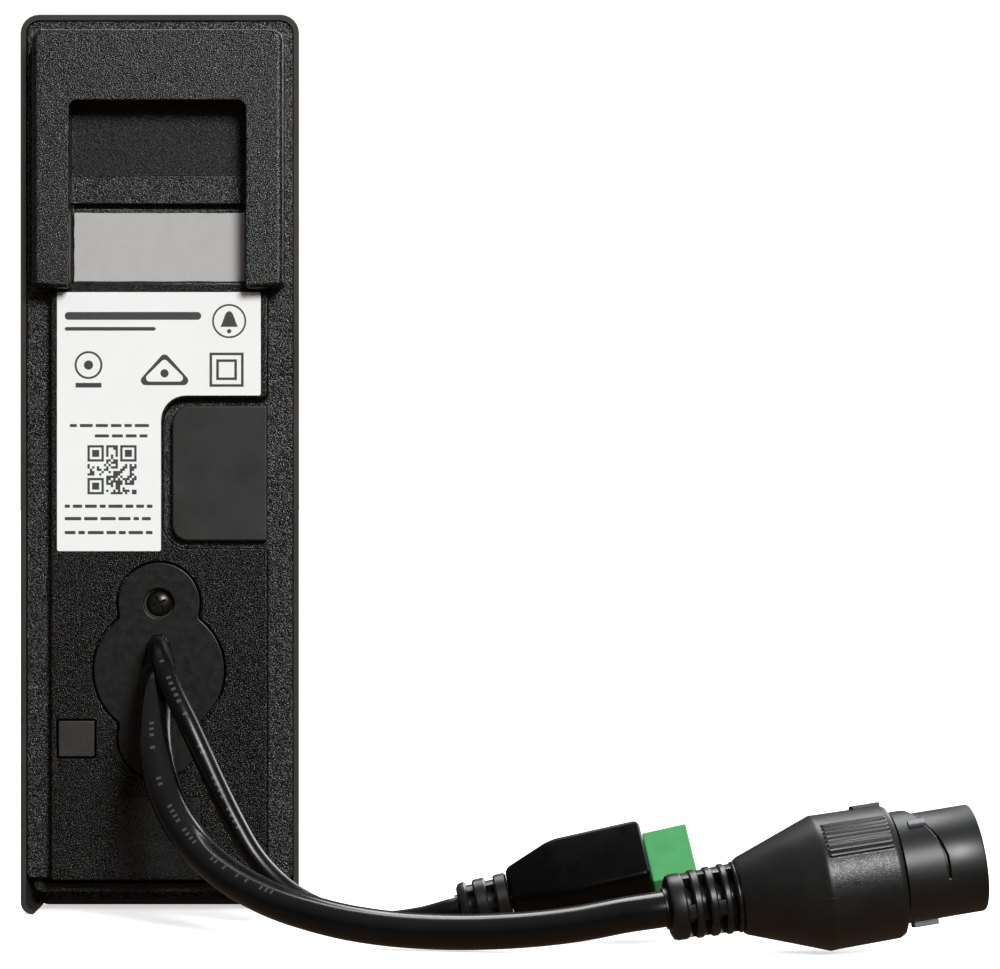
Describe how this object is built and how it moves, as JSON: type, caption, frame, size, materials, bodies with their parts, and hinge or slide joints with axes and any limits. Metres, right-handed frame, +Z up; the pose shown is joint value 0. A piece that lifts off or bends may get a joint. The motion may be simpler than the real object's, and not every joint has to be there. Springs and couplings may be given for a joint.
{
  "type": "video doorbell",
  "caption": "Slim wall doorbell with camera and call button in a folded metal face, stepped back with bracket pocket, and two pigtail cables.",
  "frame": {"origin": "under the middle of the housing, on the plane of its lower edge", "axes": "+Z up along the housing, -Y out of the front with the camera and the button, +Y out of the back where the cables leave, cables lying towards -X"},
  "size_m": [0.1796, 0.0965, 0.1745],
  "materials": {
    "satin_metal": "dark satin powder coat",
    "textured_black_plastic": "spark-eroded black texture",
    "smooth_black_plastic": "smooth satin black",
    "gloss_black": "polished black acrylic",
    "lens_glass": "coated glass",
    "label_white": "satin white film label",
    "thermal_pad_grey": "soft grey silicone pad",
    "cable_black": "glossy black jacket",
    "black_rubber": "matte moulded rubber",
    "terminal_green": "moulded green",
    "board_green": "solder mask",
    "chip_black": "moulded black",
    "steel": "plain steel",
    "black_steel": "blackened steel",
    "aluminium": "machined",
    "gold_plate": "gold plate",
    "light_diffuser": "frosted clear",
    "plunger_brown": "smooth dark brown grey",
    "cone_paper": "matte black cone"
  },
  "bodies": {
    "housing": {"back_cover": "textured_black_plastic", "back_seal": "black_rubber", "board_link": "chip_black", "board_screw_1": "steel", "board_screw_2": "steel", "board_screw_3": "steel", "board_screw_4": "steel", "button_diaphragm": "black_rubber", "button_light_ring": "light_diffuser", "cable_cover_plate": "smooth_black_plastic", "cable_grommet": "black_rubber", "call_switch": "chip_black", "camera_holder": "smooth_black_plastic", "camera_window": "gloss_black", "case_screw_1": "steel", "case_screw_2": "steel", "case_screw_3": "steel", "case_screw_4": "steel", "control_cable": "cable_black", "coupler_body": "smooth_black_plastic", "coupler_nose": "smooth_black_plastic", "coupler_strain_relief": "black_rubber", "cover_screw": "black_steel", "faceplate": "satin_metal", "front_frame": "textured_black_plastic", "front_gasket": "black_rubber", "heat_spreader": "aluminium", "infrared_led_1": "lens_glass", "infrared_led_2": "lens_glass", "jack_contacts": "gold_plate", "lens_barrel": "smooth_black_plastic", "lens_glass": "lens_glass", "light_sensor": "light_diffuser", "main_board": "board_green", "main_housing": "textured_black_plastic", "microphone": "steel", "microphone_boot": "black_rubber", "network_cable": "cable_black", "network_jack": "chip_black", "poe_transformer": "chip_black", "power_board": "board_green", "processor": "chip_black", "rating_label": "label_white", "reset_switch": "chip_black", "sensor_board": "board_green", "speaker_basket": "chip_black", "speaker_magnet": "steel", "speaker_mesh": "black_steel", "tamper_switch": "chip_black", "terminal_overmould": "smooth_black_plastic", "terminal_socket": "terminal_green", "terminal_strain_relief": "black_rubber", "thermal_pad": "thermal_pad_grey"},
    "call_button": {"call_button": "satin_metal"},
    "switch_plunger": {"call_switch_plunger": "steel"},
    "tamper_plunger": {"tamper_plunger": "plunger_brown"},
    "reset_button": {"reset_button": "black_rubber"},
    "access_cover": {"access_cover": "smooth_black_plastic"},
    "terminal_plug": {"terminal_plug": "terminal_green"},
    "speaker_cone": {"speaker_cone": "cone_paper"}
  },
  "joints": [
    {"name": "call_button_press", "type": "slide", "parent": "housing", "child": "call_button", "axis": [0, 1, 0], "range_m": [0, 0.0006], "stiffness_N_per_m": 900},
    {"name": "switch_plunger_press", "type": "slide", "parent": "housing", "child": "switch_plunger", "axis": [0, 1, 0], "range_m": [0, 0.0006]},
    {"name": "tamper_press", "type": "slide", "parent": "housing", "child": "tamper_plunger", "axis": [0, -1, 0], "range_m": [0, 0.0015], "stiffness_N_per_m": 300},
    {"name": "reset_press", "type": "slide", "parent": "housing", "child": "reset_button", "axis": [0, -1, 0], "range_m": [0, 0.0005], "stiffness_N_per_m": 500},
    {"name": "access_cover_pull", "type": "slide", "parent": "housing", "child": "access_cover", "axis": [0, 1, 0], "range_m": [0, 0.006]},
    {"name": "terminal_plug_pull", "type": "slide", "parent": "housing", "child": "terminal_plug", "axis": [-0.9759, 0, 0.2181], "range_m": [0, 0.007]},
    {"name": "speaker_cone_travel", "type": "slide", "parent": "housing", "child": "speaker_cone", "axis": [0, -1, 0], "range_m": [-0.0003, 0.0003], "stiffness_N_per_m": 600}
  ],
  "couplings": [
    {"joint": "switch_plunger_press", "follows": "call_button_press", "ratio": 1}
  ]
}
